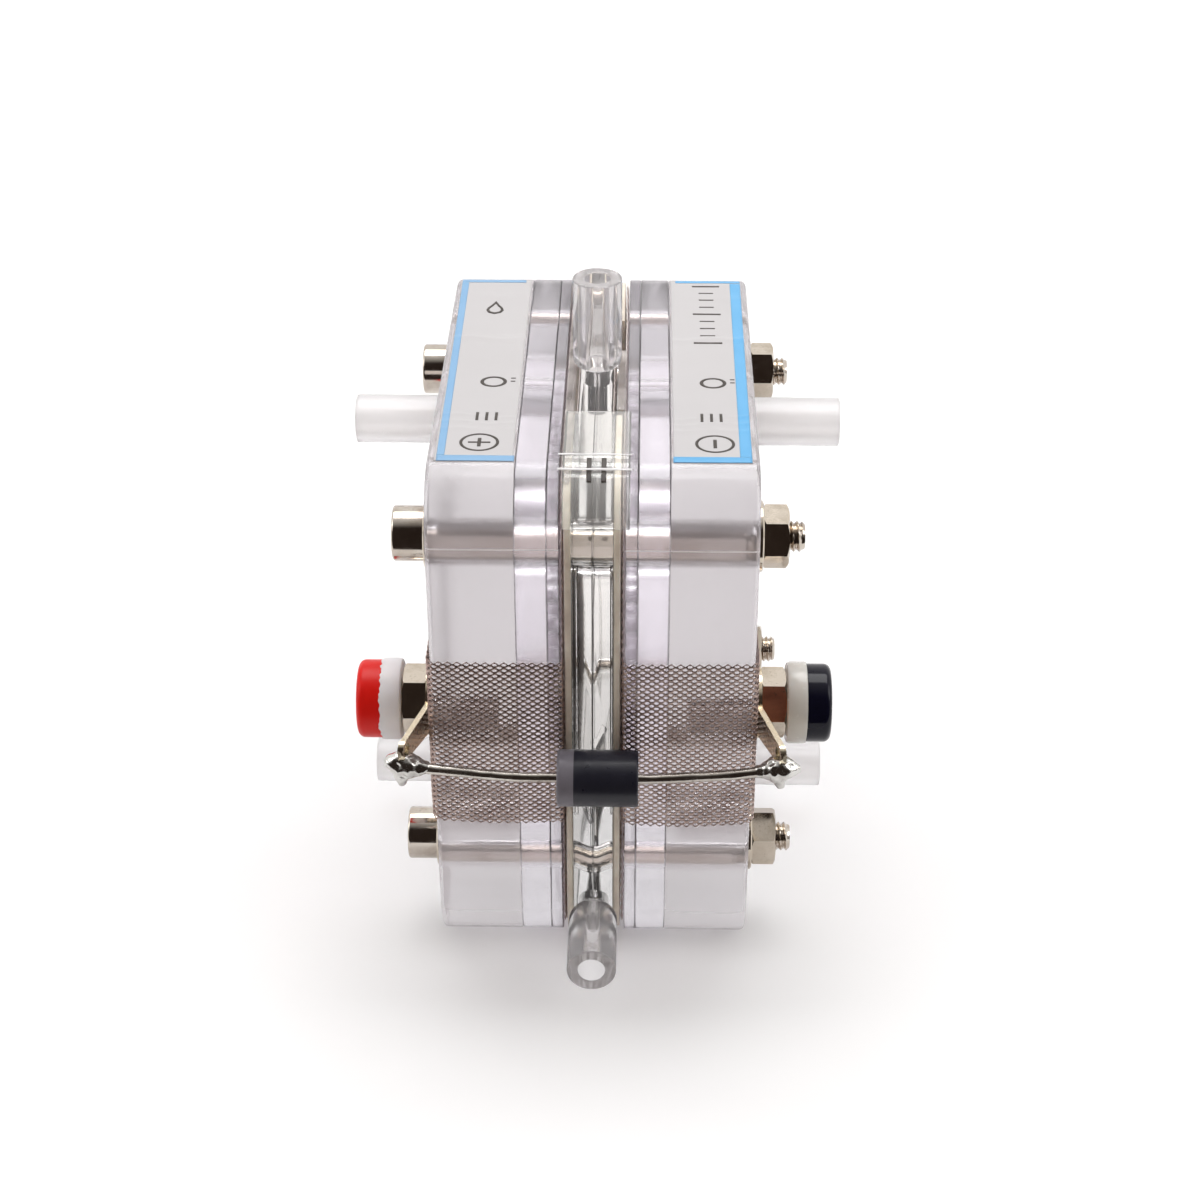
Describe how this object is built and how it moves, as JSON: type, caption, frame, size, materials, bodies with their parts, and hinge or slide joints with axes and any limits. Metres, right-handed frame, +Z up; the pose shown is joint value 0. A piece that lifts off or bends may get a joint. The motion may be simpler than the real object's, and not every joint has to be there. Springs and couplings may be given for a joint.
{
  "type": "proton exchange membrane electrolyzer",
  "caption": "Bench electrolyzer: clear bolted cell stack on its base edge, with gas tube stubs, two plug sockets and a bridging diode in front.",
  "frame": {"origin": "centre of the flat base, under the middle of the stack", "axes": "+Z up, +X along the stack to the black socket and the bolt nuts, -Y towards the side with the diode"},
  "size_m": [0.064, 0.0792, 0.0837],
  "materials": {
    "end_plate_acrylic": "clear, slightly hazy cast acrylic",
    "chamber_acrylic": "clear acrylic with a faint lilac tint",
    "frame_acrylic": "clear acrylic with a faint warm tint",
    "collector_steel": "expanded stainless steel",
    "gasket_rubber": "cream silicone",
    "felt_titanium": "sintered grey fibres",
    "catalyst_black": "matt black coating",
    "membrane_film": "amber ion exchange film",
    "oxygen_tube_plastic": "milky translucent tube",
    "hydrogen_tube_clear": "glass-clear acrylic tube",
    "nickel_plate": "bright nickel plate",
    "bolt_steel": "bright plated steel",
    "lug_brass": "pale gold plated brass",
    "solder_tin": "bright solder",
    "lead_tin": "tinned copper",
    "insulator_white": "white moulded plastic",
    "insulator_cream": "cream moulded plastic",
    "cap_red": "red moulded plastic",
    "cap_black": "black moulded plastic",
    "diode_black": "black epoxy with a grey end band",
    "label_film": "clear film with blue edge stripes",
    "tape_film": "clear adhesive tape"
  },
  "bodies": {
    "root": {"end_plate_left": "end_plate_acrylic", "chamber_plate_left": "chamber_acrylic", "support_plate_left": "chamber_acrylic", "collector_mesh_left": "collector_steel", "gasket_left": "gasket_rubber", "diffusion_felt_left": "felt_titanium", "outer_catalyst_left": "catalyst_black", "membrane_left": "membrane_film", "inner_catalyst_left": "catalyst_black", "inner_mesh_left": "collector_steel", "hydrogen_frame_left": "frame_acrylic", "oxygen_tube_upper_left": "oxygen_tube_plastic", "oxygen_tube_lower_left": "oxygen_tube_plastic", "socket_bush_left": "nickel_plate", "socket_nut_left": "nickel_plate", "label_left": "label_film", "solder_lug_left": "lug_brass", "solder_joint_left": "solder_tin", "end_plate_right": "end_plate_acrylic", "chamber_plate_right": "chamber_acrylic", "support_plate_right": "chamber_acrylic", "collector_mesh_right": "collector_steel", "gasket_right": "gasket_rubber", "diffusion_felt_right": "felt_titanium", "outer_catalyst_right": "catalyst_black", "membrane_right": "membrane_film", "inner_catalyst_right": "catalyst_black", "inner_mesh_right": "collector_steel", "hydrogen_frame_right": "frame_acrylic", "oxygen_tube_upper_right": "oxygen_tube_plastic", "oxygen_tube_lower_right": "oxygen_tube_plastic", "socket_bush_right": "nickel_plate", "socket_nut_right": "nickel_plate", "label_right": "label_film", "solder_lug_right": "lug_brass", "solder_joint_right": "solder_tin", "hydrogen_tube_top": "hydrogen_tube_clear", "hydrogen_tube_front": "hydrogen_tube_clear", "tie_bolts": "bolt_steel", "bolt_washers": "bolt_steel", "bolt_nuts": "nickel_plate", "socket_insulator_left": "insulator_white", "socket_insulator_right": "insulator_cream", "socket_cap_left": "cap_red", "socket_cap_right": "cap_black", "diode_body": "diode_black", "diode_leads": "lead_tin", "centre_tape": "tape_film"}
  },
  "joints": []
}
